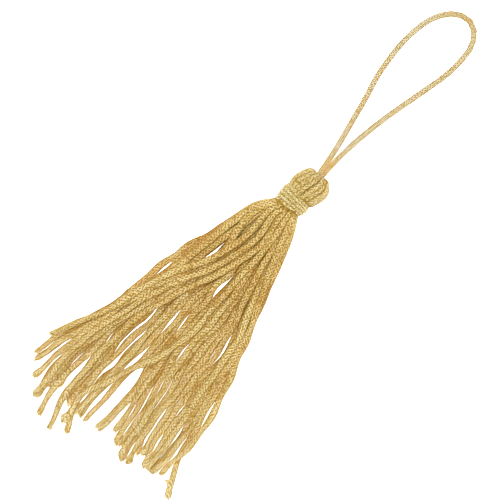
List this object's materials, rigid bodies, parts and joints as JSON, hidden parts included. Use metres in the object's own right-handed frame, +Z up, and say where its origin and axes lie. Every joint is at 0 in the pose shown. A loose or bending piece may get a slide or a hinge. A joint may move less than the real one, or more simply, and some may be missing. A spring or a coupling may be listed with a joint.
{
  "type": "silk tassel",
  "caption": "Gold silk tassel lying fanned out: soft knitted cords folded into a round head, a bound neck, a loose skirt and a hanging loop.",
  "frame": {"origin": "on the surface the tassel lies on, under the middle of the head, at the head's flat resting patch", "axes": "+Y from the skirt to the hanging loop, +Z up from the surface, +X to the right when seen from above with the loop away from the viewer"},
  "size_m": [0.0574, 0.1661, 0.0103],
  "materials": {
    "gold_silk_cord": "soft knitted silk cord, silky sheen",
    "gold_silk_binding": "soft knitted silk cord, silky sheen",
    "gold_silk_loop": "fine knitted silk cord, silky sheen"
  },
  "bodies": {
    "root": {"cord_bundle": "gold_silk_cord", "neck_binding": "gold_silk_binding", "hanging_loop": "gold_silk_loop"}
  },
  "joints": []
}
